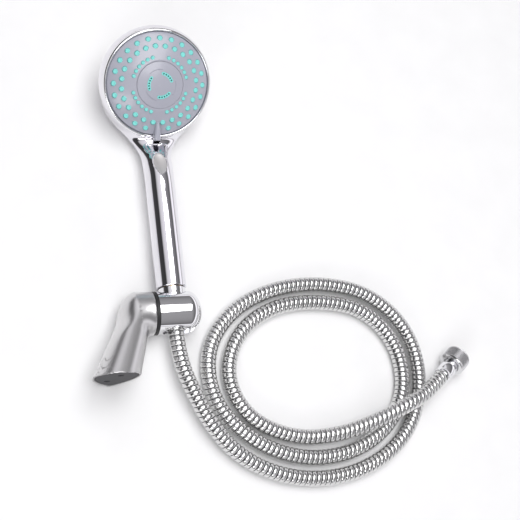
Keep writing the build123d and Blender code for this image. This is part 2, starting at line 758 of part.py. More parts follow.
with BuildPart() as hose_tube:
    with BuildLine() as hose_path:
        FilletPolyline(*points, radius=radii)
    with BuildSketch(Plane(origin=points[0], x_dir=(1, 0, 0), z_dir=points[1] - points[0])):
        Circle(hose_r)
        Circle(hose_bore_r, mode=Mode.SUBTRACT)
    sweep(path=hose_path.line)

with BuildPart() as inlet_sleeve:
    with BuildSketch(handle_side):
        with BuildLine():
            Polyline((hose_start, hose_bore_r), (hose_start, sleeve_r),
                     (flange_top - flange_depth, sleeve_r), (flange_top - flange_depth, flange_r),
                     (flange_top, flange_r), (flange_top, hose_bore_r), close=True)
        make_face()
    revolve(axis=handle_axis)

end_dir = (points[-1] - points[-2]).normalized()
end_side = Plane(origin=points[-1], x_dir=end_dir, z_dir=end_dir.cross(Vector(0, 0, 1)))
end_axis = Axis(points[-1], end_dir)
end_flange = end_sleeve_length + end_nut_back
end_seat = end_flange + collar_gap

with BuildPart() as end_sleeve:
    with BuildSketch(end_side):
        with BuildLine():
            Polyline((0, hose_bore_r), (0, sleeve_r), (end_seat, sleeve_r), (end_seat, flange_r),
                     (end_seat + flange_depth, flange_r), (end_seat + flange_depth, hose_bore_r),
                     close=True)
        make_face()
    revolve(axis=end_axis)

end_thread_start = end_sleeve_length + end_nut_length - end_nut_thread
with BuildPart() as end_nut:
    with BuildSketch(end_side):
        with BuildLine():
            Polyline((end_sleeve_length, sleeve_r + nut_play),
                     (end_sleeve_length, end_nut_r - end_nut_bevel),
                     (end_sleeve_length + end_nut_bevel, end_nut_r),
                     (end_sleeve_length + end_nut_length - end_nut_lip, end_nut_r),
                     (end_sleeve_length + end_nut_length, end_nut_r - end_nut_lip),
                     (end_sleeve_length + end_nut_length, thread_r),
                     (end_thread_start, thread_r), (end_thread_start, thread_r + end_nut_relief),
                     (end_flange, thread_r + end_nut_relief),
                     (end_flange, sleeve_r + nut_play), close=True)
        make_face()
    revolve(axis=end_axis)
    # finger ribs
    with BuildSketch(Plane(origin=points[-1] + end_dir * (end_sleeve_length + rib_start),
                           z_dir=end_dir)):
        with PolarLocations(end_nut_r + rib_out, rib_count):
            Circle(rib_r)
    extrude(amount=end_nut_length - rib_margin, mode=Mode.SUBTRACT)

with BuildPart() as end_washer:
    with BuildSketch(Plane(origin=points[-1] + end_dir * (end_seat + flange_depth + face_to_face),
                           z_dir=end_dir)):
        Circle(flange_r)
        Circle(washer_bore_r, mode=Mode.SUBTRACT)
    extrude(amount=washer_depth)

# ======================= the kept pieces =============================================
arm_shell.part.label = "arm_shell"
export_step(arm_shell.part, "parts/arm_shell.step")
wall_plate.part.label = "wall_plate"
export_step(wall_plate.part, "parts/wall_plate.step")
friction_ring.part.label = "friction_ring"
export_step(friction_ring.part, "parts/friction_ring.step")
holder_barrel.part.label = "holder_barrel"
export_step(holder_barrel.part, "parts/holder_barrel.step")
seat_liner.part.label = "seat_liner"
export_step(seat_liner.part, "parts/seat_liner.step")
swivel_bolt.part.label = "swivel_bolt"
export_step(swivel_bolt.part, "parts/swivel_bolt.step")
spring_washer.part.label = "spring_washer"
export_step(spring_washer.part, "parts/spring_washer.step")
swivel_nut.part.label = "swivel_nut"
export_step(swivel_nut.part, "parts/swivel_nut.step")
handset_shell.part.label = "handset_shell"
export_step(handset_shell.part, "parts/handset_shell.step")
rim_ring.part.label = "rim_ring"
export_step(rim_ring.part, "parts/rim_ring.step")
water_tube.part.label = "water_tube"
export_step(water_tube.part, "parts/water_tube.step")
inlet_nipple.part.label = "inlet_nipple"
export_step(inlet_nipple.part, "parts/inlet_nipple.step")
inlet_screen.part.label = "inlet_screen"
export_step(inlet_screen.part, "parts/inlet_screen.step")
inlet_washer.part.label = "inlet_washer"
export_step(inlet_washer.part, "parts/inlet_washer.step")
cone_nut.part.label = "cone_nut"
export_step(cone_nut.part, "parts/cone_nut.step")
chamber_plate.part.label = "chamber_plate"
export_step(chamber_plate.part, "parts/chamber_plate.step")
selector_seals.part.label = "selector_seals"
export_step(selector_seals.part, "parts/selector_seals.step")
spindle.part.label = "spindle"
export_step(spindle.part, "parts/spindle.step")
detent_spring.part.label = "detent_spring"
export_step(detent_spring.part, "parts/detent_spring.step")
detent_cup.part.label = "detent_cup"
export_step(detent_cup.part, "parts/detent_cup.step")
detent_ball.part.label = "detent_ball"
export_step(detent_ball.part, "parts/detent_ball.step")
selector_disc.part.label = "selector_disc"
export_step(selector_disc.part, "parts/selector_disc.step")
nozzle_mat.part.label = "nozzle_mat"
export_step(nozzle_mat.part, "parts/nozzle_mat.step")
face_plate.part.label = "face_plate"
export_step(face_plate.part, "parts/face_plate.step")
centre_cap.part.label = "centre_cap"
export_step(centre_cap.part, "parts/centre_cap.step")
centre_jets.part.label = "centre_jets"
export_step(centre_jets.part, "parts/centre_jets.step")
dial_washer.part.label = "dial_washer"
export_step(dial_washer.part, "parts/dial_washer.step")
face_screw.part.label = "face_screw"
export_step(face_screw.part, "parts/face_screw.step")
hose_tube.part.label = "hose_tube"
export_step(hose_tube.part, "parts/hose_tube.step")
inlet_sleeve.part.label = "inlet_sleeve"
export_step(inlet_sleeve.part, "parts/inlet_sleeve.step")
end_sleeve.part.label = "end_sleeve"
export_step(end_sleeve.part, "parts/end_sleeve.step")
end_nut.part.label = "end_nut"
export_step(end_nut.part, "parts/end_nut.step")
end_washer.part.label = "end_washer"
export_step(end_washer.part, "parts/end_washer.step")
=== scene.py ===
import bpy
import numpy as np
from math import cos, pi, radians, sin, sqrt
from mathutils import Matrix, Vector


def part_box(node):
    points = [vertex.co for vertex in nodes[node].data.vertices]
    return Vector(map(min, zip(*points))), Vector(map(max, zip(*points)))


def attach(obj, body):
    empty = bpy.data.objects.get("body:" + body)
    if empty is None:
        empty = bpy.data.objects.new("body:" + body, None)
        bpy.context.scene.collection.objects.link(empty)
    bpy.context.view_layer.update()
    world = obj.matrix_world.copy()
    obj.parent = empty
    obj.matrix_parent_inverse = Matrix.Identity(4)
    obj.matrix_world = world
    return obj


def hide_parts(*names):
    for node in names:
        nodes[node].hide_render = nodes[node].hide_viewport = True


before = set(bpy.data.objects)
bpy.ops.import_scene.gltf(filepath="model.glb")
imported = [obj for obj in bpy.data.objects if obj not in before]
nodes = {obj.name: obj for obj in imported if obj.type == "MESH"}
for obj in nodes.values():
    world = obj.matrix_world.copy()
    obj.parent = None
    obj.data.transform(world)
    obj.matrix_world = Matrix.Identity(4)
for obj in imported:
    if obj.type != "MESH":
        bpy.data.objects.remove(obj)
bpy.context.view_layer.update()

# ---- the shower's own places: the bracket's swivel, the handle's axis, the spray face --------
ring_low, ring_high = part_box("friction_ring")
swivel = Vector((ring_low.x, (ring_low.y + ring_high.y) / 2, (ring_low.z + ring_high.z) / 2))
handle = swivel + Vector((0.0195, 0, 0))
face_tilt = radians(33.5)
spray = Vector((0, -sin(face_tilt), cos(face_tilt)))
head_up = Vector((0, cos(face_tilt), sin(face_tilt)))
face_middle = handle + Vector((0, 0.208, 0.031))

# ---- camera: high over the handle's foot, a little to its left -------------------------------
camera_data = bpy.data.cameras.new("camera")
camera_data.lens = 76.2
camera_data.sensor_width = 36.0
camera_data.clip_start = 0.05
camera = bpy.data.objects.new("camera", camera_data)
bpy.context.scene.collection.objects.link(camera)
bpy.context.scene.camera = camera
back = Vector((-0.3207, -0.2841, 0.9036)).normalized()
up = Vector((0.0314, 0.9503, 0.3099))
right = up.cross(back).normalized()
up = back.cross(right)
camera.matrix_world = Matrix.Translation(swivel + Vector((-0.2191, -0.2419, 0.9160))) @ Matrix(
    (right, up, back)).transposed().to_4x4()

# ---- hose: 14 mm double-lock steel strip, wound in a long helix over an inner tube -----------
# It leaves the conical nut along the handle's line, comes down to the table, lies in two turns
# and a half, and passes over its own turns in a low hump. The strip is bright; its seams are painted
# near-black as shade.
hose_radius = 0.007
strip_width = 0.0046
tube_low = 0.0072 - swivel.z
hose_route = [
    (0.0195, -0.012, 0), (0.0195, -0.041, 0), (0.029, -0.070, -0.0015), (0.044, -0.103, -0.006),
    (0.070, -0.133, tube_low + 0.0013), (0.111, -0.153, tube_low), (0.158, -0.157, tube_low),
    (0.204, -0.144, tube_low), (0.239, -0.114, tube_low), (0.255, -0.069, tube_low),
    (0.248, -0.022, tube_low), (0.215, 0.013, tube_low), (0.170, 0.025, tube_low),
    (0.122, 0.023, tube_low), (0.078, 0.005, tube_low), (0.048, -0.031, tube_low),
    (0.048, -0.079, tube_low), (0.077, -0.115, tube_low), (0.118, -0.136, tube_low),
    (0.165, -0.138, tube_low), (0.208, -0.120, tube_low), (0.236, -0.084, tube_low),
    (0.235, -0.037, tube_low), (0.207, -0.002, tube_low), (0.162, 0.008, tube_low),
    (0.116, 0.005, tube_low), (0.078, -0.019, tube_low), (0.063, -0.059, tube_low),
    (0.079, -0.097, tube_low), (0.119, -0.118, tube_low), (0.161, -0.119, tube_low + 0.003),
    (0.199, -0.110, tube_low + 0.012), (0.230, -0.098, tube_low + 0.020),
    (0.252, -0.088, tube_low + 0.0166), (0.275, -0.070, 0.0124 - swivel.z + 0.0052),
]
line_data = bpy.data.curves.new("hose_line", "CURVE")
line_data.dimensions = "3D"
line_data.resolution_u = 24
line = line_data.splines.new("NURBS")
line.points.add(len(hose_route) - 1)
for knot, place in zip(line.points, hose_route):
    knot.co = (*(swivel + Vector(place)), 1)
line.order_u = 3
line.use_endpoint_u = True
line_object = bpy.data.objects.new("hose_line", line_data)
line_mesh = bpy.data.meshes.new_from_object(line_object)
line_points = np.array([v.co for v in line_mesh.vertices], float)
bpy.data.objects.remove(line_object)


def material(name, colour, roughness, metallic=0.0, uneven=0.0, grain=400.0, bump=0.0, coat=0.0):
    """Finish whose roughness and surface vary with a fine noise, as moulded and plated ones do."""
    made = bpy.data.materials.new(name)
    made.use_nodes = True
    tree = made.node_tree
    shader = tree.nodes["Principled BSDF"]
    shader.inputs["Metallic"].default_value = metallic
    shader.inputs["Coat Weight"].default_value = coat
    shader.inputs["Coat Roughness"].default_value = 0.1
    where = tree.nodes.new("ShaderNodeTexCoord")
    noise = tree.nodes.new("ShaderNodeTexNoise")
    noise.inputs["Scale"].default_value = grain
    noise.inputs["Detail"].default_value = 3.0
    tree.links.new(where.outputs["Object"], noise.inputs["Vector"])
    spread = tree.nodes.new("ShaderNodeMapRange")
    spread.inputs["To Min"].default_value = max(0.0, roughness - uneven)
    spread.inputs["To Max"].default_value = roughness + uneven
    tree.links.new(noise.outputs["Fac"], spread.inputs["Value"])
    tree.links.new(spread.outputs["Result"], shader.inputs["Roughness"])
    tint = tree.nodes.new("ShaderNodeMix")
    tint.data_type = "RGBA"
    tint.inputs["A"].default_value = (*[c * 0.94 for c in colour], 1)
    tint.inputs["B"].default_value = (*colour, 1)
    tree.links.new(noise.outputs["Fac"], tint.inputs["Factor"])
    tree.links.new(tint.outputs["Result"], shader.inputs["Base Color"])
    if bump:
        bumped = tree.nodes.new("ShaderNodeBump")
        bumped.inputs["Strength"].default_value = bump
        bumped.inputs["Distance"].default_value = 0.0002
        tree.links.new(noise.outputs["Fac"], bumped.inputs["Height"])
        tree.links.new(bumped.outputs["Normal"], shader.inputs["Normal"])
    return made


def piece(name, points, faces, materials, face_material=None, normals=None):
    """A smooth-shaded mesh from points in metres, riding on nothing yet."""
    mesh = bpy.data.meshes.new(name)
    mesh.from_pydata([tuple(p) for p in points], [], [tuple(f) for f in faces])
    for one in materials:
        mesh.materials.append(one)
    if face_material is not None:
        mesh.polygons.foreach_set("material_index", np.array(face_material, np.int32))
    mesh.polygons.foreach_set("use_smooth", np.ones(len(mesh.polygons), bool))
    mesh.validate(clean_customdata=False)
    mesh.update()
    if normals is not None:
        mesh.normals_split_custom_set_from_vertices([Vector(n).normalized() for n in normals])
    made = bpy.data.objects.new(name, mesh)
    bpy.context.scene.collection.objects.link(made)
    return made


def finish_node(name, *finishes):
    """Gives a carried-over solid its finish and keeps its edges crisp."""
    mesh = nodes[name].data
    mesh.materials.clear()
    for one in finishes:
        mesh.materials.append(one)
    mesh.polygons.foreach_set("use_smooth", np.ones(len(mesh.polygons), bool))
    mesh.set_sharp_from_angle(angle=radians(32))


hose_strip = material("hose strip steel", (0.74, 0.74, 0.735), 0.2, 1.0, 0.06, 900, 0.05)
# painted shade: the seam grooves are coloured near-black to stand for the shade inside them
hose_seam_shade = material("hose seam shadow", (0.05, 0.05, 0.052), 0.5, 0.6, 0.1, 900)

# the strip's cross-section over one pitch: (share of the pitch, height, in the seam); seam faces get the
# painted shade
strip_section = [(0.00, 0.90, 1), (0.06, 0.965, 0), (0.16, 0.993, 0), (0.40, 1.005, 0),
                 (0.64, 0.997, 0), (0.78, 0.972, 0), (0.84, 0.90, 1), (0.92, 0.89, 1)]
run = np.r_[0, np.cumsum(np.linalg.norm(np.diff(line_points, axis=0), axis=1))]
hose_length = run[-1]
turns = int(hose_length / strip_width) - 1
around = 28
per_turn = len(strip_section)
rows = turns * per_turn


def along_line(distance):
    """Points of the hose's middle line at these distances from its start."""
    return np.stack([np.interp(distance, run, line_points[:, k]) for k in range(3)], -1)


fine_step = 0.0008
fine = np.arange(0, hose_length, fine_step)
fine_points = along_line(fine)
window = np.ones(9) / 9
for k in range(3):
    padded = np.pad(fine_points[:, k], 4, mode="reflect", reflect_type="odd")
    fine_points[:, k] = np.convolve(padded, window, "valid")
fine_heading = np.gradient(fine_points, axis=0)
fine_heading /= np.linalg.norm(fine_heading, axis=1)[:, None]
side_way = np.cross(fine_heading, (0, 0, 1.0))
side_way /= np.linalg.norm(side_way, axis=1)[:, None]
lift_way = np.cross(side_way, fine_heading)
hose_points = []
for row in range(rows):
    share, height = strip_section[row % per_turn][:2]
    for step in range(around):
        angle = 2 * pi * step / around
        distance = (row // per_turn + share + step / around) * strip_width
        i = min(distance / fine_step, len(fine) - 1.001)
        a, f = int(i), i - int(i)
        middle = fine_points[a] * (1 - f) + fine_points[a + 1] * f
        out = side_way[a] * cos(angle) + lift_way[a] * sin(angle)
        hose_points.append(middle + out * hose_radius * height)
hose_faces, hose_finish = [], []
for row in range(rows - 1):
    # faces between two seam rows get the painted seam shade
    dark = strip_section[row % per_turn][2] and strip_section[(row + 1) % per_turn][2]
    for step in range(around):
        nearer, further = row * around + step, (row + 1) * around + step
        if step < around - 1:
            hose_faces.append((nearer, nearer + 1, further + 1, further))
        elif row + 1 + per_turn < rows:
            wrap = (row + per_turn) * around
            hose_faces.append((nearer, wrap, wrap + around, further))
        else:
            continue
        hose_finish.append(1 if dark else 0)
hose = piece("hose", hose_points, hose_faces, [hose_strip, hose_seam_shade], hose_finish)
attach(hose, "hose")
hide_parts("hose_tube")

# ---- ferrule and coupling nut at the hose's free end ------------------------------------------
# A crimped bright ferrule holds the hose's tail. The loose nut is brass, satin plated, with fine
# ribs for the fingers, and turns on the tail behind a flange with a rubber washer.
bright_plate = material("bright chrome plate", (0.86, 0.86, 0.88), 0.045, 1.0, 0.02, 60)
satin_plate = material("satin chrome plate", (0.74, 0.74, 0.75), 0.22, 1.0, 0.05, 500, 0.04)
hose_end = Vector(line_points[-1])
end_way = (Vector(hose_route[-1]) - Vector(hose_route[-2])).normalized()


def turned(name, section, start, axis, materials, segments=96, ribs=None, closed=True, first=None):
    """Solid of revolution. section holds (distance along the axis, radius) in millimetres."""
    side = axis.cross(first or Vector((0, 0, 1))).normalized()
    other = axis.cross(side)
    points = []
    for reach, radius in section:
        for step in range(segments):
            angle = 2 * pi * step / segments
            cut = ribs(reach, angle) if ribs else 0.0
            out = side * cos(angle) + other * sin(angle)
            points.append(start + axis * (reach / 1000) + out * ((radius - cut) / 1000))
    faces = []
    count = len(section)
    for row in range(count if closed else count - 1):
        ahead = (row + 1) % count
        for step in range(segments):
            beside = (step + 1) % segments
            faces.append((row * segments + step, row * segments + beside,
                          ahead * segments + beside, ahead * segments + step))
    made = piece(name, points, faces, materials)
    made.data.set_sharp_from_angle(angle=radians(38))
    return made


def finger_ribs(reach, angle):
    """Depth of the ribbing: full on the band, none on the rounded shoulders."""
    band = min(max((reach - 12.4) / 0.5, 0), 1) * min(max((24.6 - reach) / 0.5, 0), 1)
    return 0.42 * band * (0.5 + 0.5 * cos(60 * angle)) ** 0.7


ferrule = turned("ferrule", [(-7.0, 7.15), (-6.6, 7.7), (-5.6, 7.95), (-3.6, 7.95), (-3.0, 7.7),
                             (-2.4, 7.7), (-1.8, 7.95), (5.5, 7.95), (6.3, 7.75), (10.4, 7.6),
                             (13.0, 7.4), (13.0, 6.2), (-7.0, 6.2)],
                 hose_end, end_way, [bright_plate])
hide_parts("end_sleeve")
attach(ferrule, "hose")
nut_section = [(11.0, 8.0), (11.05, 9.9), (11.4, 11.1), (12.2, 11.9)]
nut_section += [(12.4 + 0.3 * k, 12.15) for k in range(42)]
nut_section += [(25.3, 11.9), (25.9, 11.4), (26.0, 11.0), (25.9, 10.7), (25.3, 10.5), (13.6, 10.5),
                (13.6, 8.0)]
nut = turned("coupling_nut", nut_section, hose_end, end_way, [satin_plate], 360, finger_ribs)
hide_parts("end_nut")
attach(nut, "coupling_nut")
seal = material("washer rubber", (0.02, 0.02, 0.02), 0.6, 0.0, 0.1, 700, 0.1)
finish_node("end_washer", seal)

# ---- handset body: one hollow ABS moulding, handle, neck and bowl, bright chrome plated -------
# The round handle flattens into a neck with a thumb dish, and the neck spreads into the bowl
# behind the spray face. The plating runs over every blend without a seam.
body_plate = material("handset chrome plate", (0.83, 0.82, 0.86), 0.035, 1.0, 0.015, 40)


def soft_min(a, b, blend):
    """The smaller of two distances, with a rounded change from one to the other."""
    share = np.clip(0.5 + 0.5 * (b - a) / blend, 0, 1)
    return b * (1 - share) + a * share - blend * share * (1 - share)


def soft_max(a, b, blend):
    """The larger of two distances, rounded in the same way."""
    return -soft_min(-a, -b, blend)


def through(x, places, values):
    """Smooth curve through the values given at these places."""
    places, values = np.array(places, float), np.array(values, float)
    slope = np.gradient(values, places)
    i = np.clip(np.searchsorted(places, x) - 1, 0, len(places) - 2)
    width = places[i + 1] - places[i]
    t = np.clip((x - places[i]) / width, 0, 1)
    return ((1 + 2 * t) * (1 - t) ** 2 * values[i] + t * (1 - t) ** 2 * width * slope[i]
            + t * t * (3 - 2 * t) * values[i + 1] + t * t * (t - 1) * width * slope[i + 1])


def skin(name, field, low, high, cell, origin, finish, inner=None):
    """Smooth closed mesh where field, in millimetres from origin, is zero."""
    spans = [np.arange(a, b + cell, cell) for a, b in zip(low, high)]
    inside = field(np.stack(np.meshgrid(*spans, indexing="ij"), -1)) < 0
    size = inside.shape
    filled = sum(inside[a:size[0] - 1 + a, b:size[1] - 1 + b, c:size[2] - 1 + c].astype(int)
                 for a in (0, 1) for b in (0, 1) for c in (0, 1))
    mixed = (filled > 0) & (filled < 8)
    number = np.full(mixed.shape, -1)
    number[mixed] = np.arange(mixed.sum())
    points = np.array(low, float) + (np.argwhere(mixed) + 0.5) * cell
    step = np.eye(3, dtype=int)
    quads = []
    for k in range(3):
        a, b = step[(k + 1) % 3], step[(k + 2) % 3]
        lower = np.take(inside, range(size[k] - 1), axis=k)
        upper = np.take(inside, range(1, size[k]), axis=k)
        edge = np.argwhere(lower != upper)
        ring = [number[tuple((edge - shift).T)] for shift in (0 * a, a, a + b, b)]
        quad = np.stack(ring, 1)
        outward = lower[tuple(edge.T)]
        quad[~outward] = quad[~outward][:, ::-1]
        quads.append(quad)
    quads = np.concatenate(quads)

    def slope_of(p):
        return np.stack([field(p + 0.02 * e) - field(p - 0.02 * e) for e in np.eye(3)], -1) / 0.04

    for turn in range(9):
        if turn < 5:
            total, count = np.zeros_like(points), np.zeros(len(points))
            for k in range(4):
                np.add.at(total, quads[:, k], points[quads[:, (k + 1) % 4]])
                np.add.at(count, quads[:, k], 1)
            points = 0.5 * points + 0.5 * total / np.maximum(count, 1)[:, None]
        slope = slope_of(points)
        push = slope * (field(points) / np.maximum((slope ** 2).sum(-1), 0.05))[:, None]
        length = np.linalg.norm(push, axis=1)[:, None]
        points = points - push * np.minimum(1, cell / np.maximum(length, 1e-9))
    normals = slope_of(points)
    normals /= np.maximum(np.linalg.norm(normals, axis=1), 1e-9)[:, None]
    finishes = [finish] if inner is None else [finish, inner[0]]
    chosen = None if inner is None else inner[1](points[quads].mean(1)).astype(np.int32)
    return piece(name, np.array(origin) + points / 1000, quads, finishes, chosen, normals)


neck_places = [10, 60, 112, 128, 139, 150, 163, 176, 192, 206]
neck_wide = [13.5, 13.5, 13.5, 13.5, 13.7, 14.3, 18.8, 28.0, 40.0, 46.0]
neck_tall = [13.5, 13.5, 13.5, 13.3, 12.1, 10.2, 8.2, 8.4, 11.0, 14.0]
neck_rise = [0, 0, 0, -0.2, -1.4, -3.5, -6.6, -6.8, -3.5, 1.0]
face_in_hand = np.array([0, 208.0, 31.0])
spray_way = np.array(spray)
head_up_way = np.array(head_up)


def head_reach(p):
    """(distance in front of the rim's plane, distance from the spray axis)."""
    away = p - face_in_hand
    front = away @ spray_way
    return front, np.hypot(away[..., 0], away @ head_up_way)


def in_egg(p):
    """Below 1 inside the thumb dish, an egg that is wider towards the head, lying on the neck."""
    slope = radians(-17)
    x, forward, raised = p[..., 0], p[..., 1] - 139, p[..., 2] - 14.6
    ahead = forward * cos(slope) + raised * sin(slope)
    above = raised * cos(slope) - forward * sin(slope)
    half_width = 9.4 * (1 + 0.22 * np.clip(ahead / 16, -1.2, 1.2))
    return np.sqrt((x / half_width) ** 2 + (ahead / 17) ** 2 + (above / 6.2) ** 2)


def handset_field(p):
    """Outside of the handset, its face opening and the dish for the thumb."""
    x, y, z = p[..., 0], p[..., 1], p[..., 2]
    wide = through(y, neck_places, neck_wide)
    tall = through(y, neck_places, neck_tall)
    rise = through(y, neck_places, neck_rise)
    neck = (np.sqrt((x / wide) ** 2 + ((z - rise) / tall) ** 2) - 1) * tall
    neck = np.maximum(neck, y - 206)
    front, out = head_reach(p)
    rim = out - (52 - 1.8 * np.clip((front + 11.3) / 9.3, 0, 2) ** 2)
    corner = np.hypot(np.maximum(out - 32, 0), front + 11.3) - 20
    bottom = np.hypot(out, front - 34.9) - 76.2
    bowl = np.where(front > -11.3, rim, np.where(out < 0.6926 * (34.9 - front), bottom, corner))
    bowl = np.maximum(bowl, front + 2)
    body = soft_min(neck, bowl, 6.0)
    body = soft_max(body, 22 - y, 0.8)
    body = soft_max(body, -np.maximum(out - 56.1, 0.6 - front), 0.8)
    body = np.maximum(body, -np.maximum(out - 50.3, -2 - front))
    body = np.maximum(body, -np.maximum(out - 47.7, -9 - front))
    return soft_max(body, 6 - 6 * in_egg(p), 0.5)


dish_satin = material("thumb dish satin", (0.60, 0.58, 0.58), 0.42, 0.5, 0.05, 900, 0.04)


def in_dish(p):
    """Which faces belong to the thumb dish."""
    return in_egg(p) < 1.035


body = skin("handset_body", handset_field, (-56, 16, -22), (56, 266, 62), 1.3, handle, body_plate,
            (dish_satin, in_dish))
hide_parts("handset_shell")
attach(body, "handset")

# ---- rim ring: chrome plated ring that closes the bowl round the spray face --------------------
# Its rounded lip stands a little over the bowl's edge and leaves a thin dark gap to the face.
rim = turned("rim_ring_lip", [(-2.6, 50.4), (-1.2, 50.2), (-0.1, 49.7), (0.6, 48.9), (0.75, 48.2),
                              (0.5, 47.6), (-0.1, 47.25), (-7.5, 47.25), (-7.5, 48.0), (-2.6, 48.0)],
             face_middle, spray, [bright_plate], 192, first=head_up)
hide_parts("rim_ring")
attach(rim, "handset")

# ---- spray face: domed disc moulded in light grey-lilac plastic, which the lever turns --------
# It turns on a spindle in the bowl. The dome carries the nozzle rows, a sunk centre cap and a
# rounded lever that reaches over the rim towards the handle.
face_plastic = material("face plastic", (0.40, 0.405, 0.47), 0.30, 0.0, 0.05, 1500, 0.05, coat=0.25)
dome_radius = (46.8 ** 2 + 12.5 ** 2) / 25.0


def dome_height(out):
    """Height of the dome above the rim's plane at this distance from the middle."""
    return 12.5 - dome_radius + sqrt(dome_radius ** 2 - out ** 2)


dome = [(-6.0, 46.8), (-0.5, 46.8), (-0.05, 46.6)]
dome += [(dome_height(46.0 - 1.2 * k), 46.0 - 1.2 * k) for k in range(20)]
dome += [(dome_height(21.75), 21.75), (dome_height(21.5) - 0.15, 21.5), (dome_height(21.4) - 1.2, 21.4),
         (8.6, 21.4), (8.6, 12.0), (7.0, 12.0), (6.0, 23.0), (-6.0, 44.3)]
face = turned("spray_face", dome, face_middle, spray, [face_plastic], 192, first=head_up)
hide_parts("face_plate")
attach(face, "dial")


def lever_field(p):
    """Rounded fin: slim where it rises from the dome, full where the thumb meets it."""
    away = p - face_in_hand
    front, out, x = away @ spray_way, -(away @ head_up_way), away[..., 0]
    half = through(out, [33, 37, 42, 48, 53, 57], [1.5, 2.1, 2.7, 3.0, 2.9, 2.4])
    top = through(out, [33, 36, 40, 46, 52, 56], [6.6, 7.7, 8.7, 8.9, 8.1, 6.6])
    under = np.where(out < 46.6, -1.0, 1.5)
    fin = soft_max(np.abs(x) - half, front - top, 3.2)
    fin = soft_max(fin, under - front, 1.0)
    return soft_max(soft_max(fin, out - 55.4, 2.2), 33.2 - out, 1.5)


lever = skin("lever", lever_field, (-5, 160, -4), (5, 186, 26), 0.7, handle, face_plastic)
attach(lever, "dial")

# ---- nozzles: soft cyan rubber tips of the mat behind the face, each with a fine hole ---------
# Two full rows and four short rows of smaller tips. They are soft so that scale rubs off them.
tip_rubber = material("nozzle rubber", (0.22, 0.72, 0.67), 0.42, 0.0, 0.06, 1200, 0.08)
# painted shade: the inside of each nozzle's hole is coloured near-black for the shade in it
hole_painted_shade = material("nozzle hole painted shade", (0.012, 0.07, 0.07), 0.6, 0.0, 0.1, 900)
# painted shade: each tip's foot ring is coloured darker teal for the shade where it meets the face
tip_foot_painted_shade = material("nozzle foot painted shade", (0.16, 0.40, 0.41), 0.5, 0.0, 0.1, 900)
tip_section = [(-0.7, 2.75), (0.04, 2.75), (0.1, 2.35), (0.4, 2.2), (0.85, 1.85), (1.0, 1.5),
               (0.97, 1.1), (0.8, 0.85), (0.3, 0.8), (0.3, 0.02)]
nozzle_places = [(41.2, -75 + 15 * k, 1.0) for k in range(23)]
nozzle_places += [(34.5, -82.5 + 15 * k, 1.0) for k in range(24)]
for quarter in range(4):
    nozzle_places += [(25.2, 45 + 90 * quarter + 11.15 * (k - 2.5), 0.74) for k in range(6)]
tip_points, tip_faces, tip_finish = [], [], []
for out, angle, share in nozzle_places:
    way = Vector((1, 0, 0)) * cos(radians(angle)) + head_up * sin(radians(angle))
    foot = face_middle + (way * out + spray * dome_height(out)) / 1000
    axis = (spray + way * (out / dome_radius) * 0.6).normalized()
    side = axis.cross(Vector((0, 0, 1))).normalized()
    other = axis.cross(side)
    first = len(tip_points)
    for reach, radius in tip_section:
        for step in range(20):
            turn = 2 * pi * step / 20
            tip_points.append(foot + (axis * reach + (side * cos(turn) + other * sin(turn)) * radius)
                              * share / 1000)
    for row in range(len(tip_section) - 1):
        for step in range(20):
            beside = (step + 1) % 20
            tip_faces.append((first + row * 20 + step, first + row * 20 + beside,
                              first + (row + 1) * 20 + beside, first + (row + 1) * 20 + step))
            # rows from 7 on are the hole, painted as its shade; rows up to 2 are the foot, painted
            # darker as shade
            tip_finish.append(1 if row >= 7 else 2 if row <= 2 else 0)
tips = piece("nozzle_tips", tip_points, tip_faces, [tip_rubber, hole_painted_shade, tip_foot_painted_shade], tip_finish)
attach(tips, "dial")
finish_node("nozzle_mat", tip_rubber)

# ---- centre cap and its jets: a snapped-in disc with three curved rubber pads -----------------
# The cap matches the face. Each pad has five fine holes, drawn as thin near-black discs
# that paint the shade inside them, and three thin arcs are engraved between the pads.
finish_node("centre_cap", face_plastic)
finish_node("centre_jets", tip_rubber)
# five thin near-black discs per pad, painted as the shade inside the jet holes
shade_dot_points, shade_dot_faces = [], []
for pad in range(3):
    for k in range(5):
        angle = radians(51 - 120 * pad + 12.6 * (k - 2))
        way = Vector((1, 0, 0)) * cos(angle) + head_up * sin(angle)
        foot = face_middle + (way * 10.8 + spray * (dome_height(10.8) + 0.28)) / 1000
        side = way.cross(spray)
        first = len(shade_dot_points)
        for reach, radius in ((0.0, 0.75), (0.06, 0.7), (0.06, 0.02)):
            for step in range(16):
                turn = 2 * pi * step / 16
                shade_dot_points.append(foot + (spray * reach + (way * cos(turn) + side * sin(turn)) * radius)
                                   / 1000)
        for row in range(2):
            for step in range(16):
                beside = (step + 1) % 16
                shade_dot_faces.append((first + row * 16 + step, first + (row + 1) * 16 + step,
                                   first + (row + 1) * 16 + beside, first + row * 16 + beside))
jet_hole_shade_dots = piece("jet_hole_shade_dots", shade_dot_points, shade_dot_faces, [hole_painted_shade])
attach(jet_hole_shade_dots, "dial")

# ---- conical nut and inlet: the nut that joins hose and handset and wedges in the holder ------
# Brass, chrome plated. The handset's inlet thread, screen and washer are inside it.
brass = material("turned brass", (0.70, 0.50, 0.24), 0.25, 1.0, 0.05, 600)
steel = material("zinc bright steel", (0.56, 0.56, 0.57), 0.3, 1.0, 0.06, 600)
moulded = material("inner moulding", (0.72, 0.72, 0.70), 0.5, 0.0, 0.06, 800, 0.06)
finish_node("cone_nut", bright_plate)
finish_node("inlet_nipple", brass)
finish_node("inlet_sleeve", brass)
finish_node("inlet_screen", steel)
for name in ("inlet_washer", "selector_seals"):
    finish_node(name, seal)
for name in ("water_tube", "chamber_plate", "spindle", "selector_disc", "detent_cup"):
    finish_node(name, moulded)
for name in ("detent_spring", "detent_ball", "dial_washer", "face_screw"):
    finish_node(name, steel)

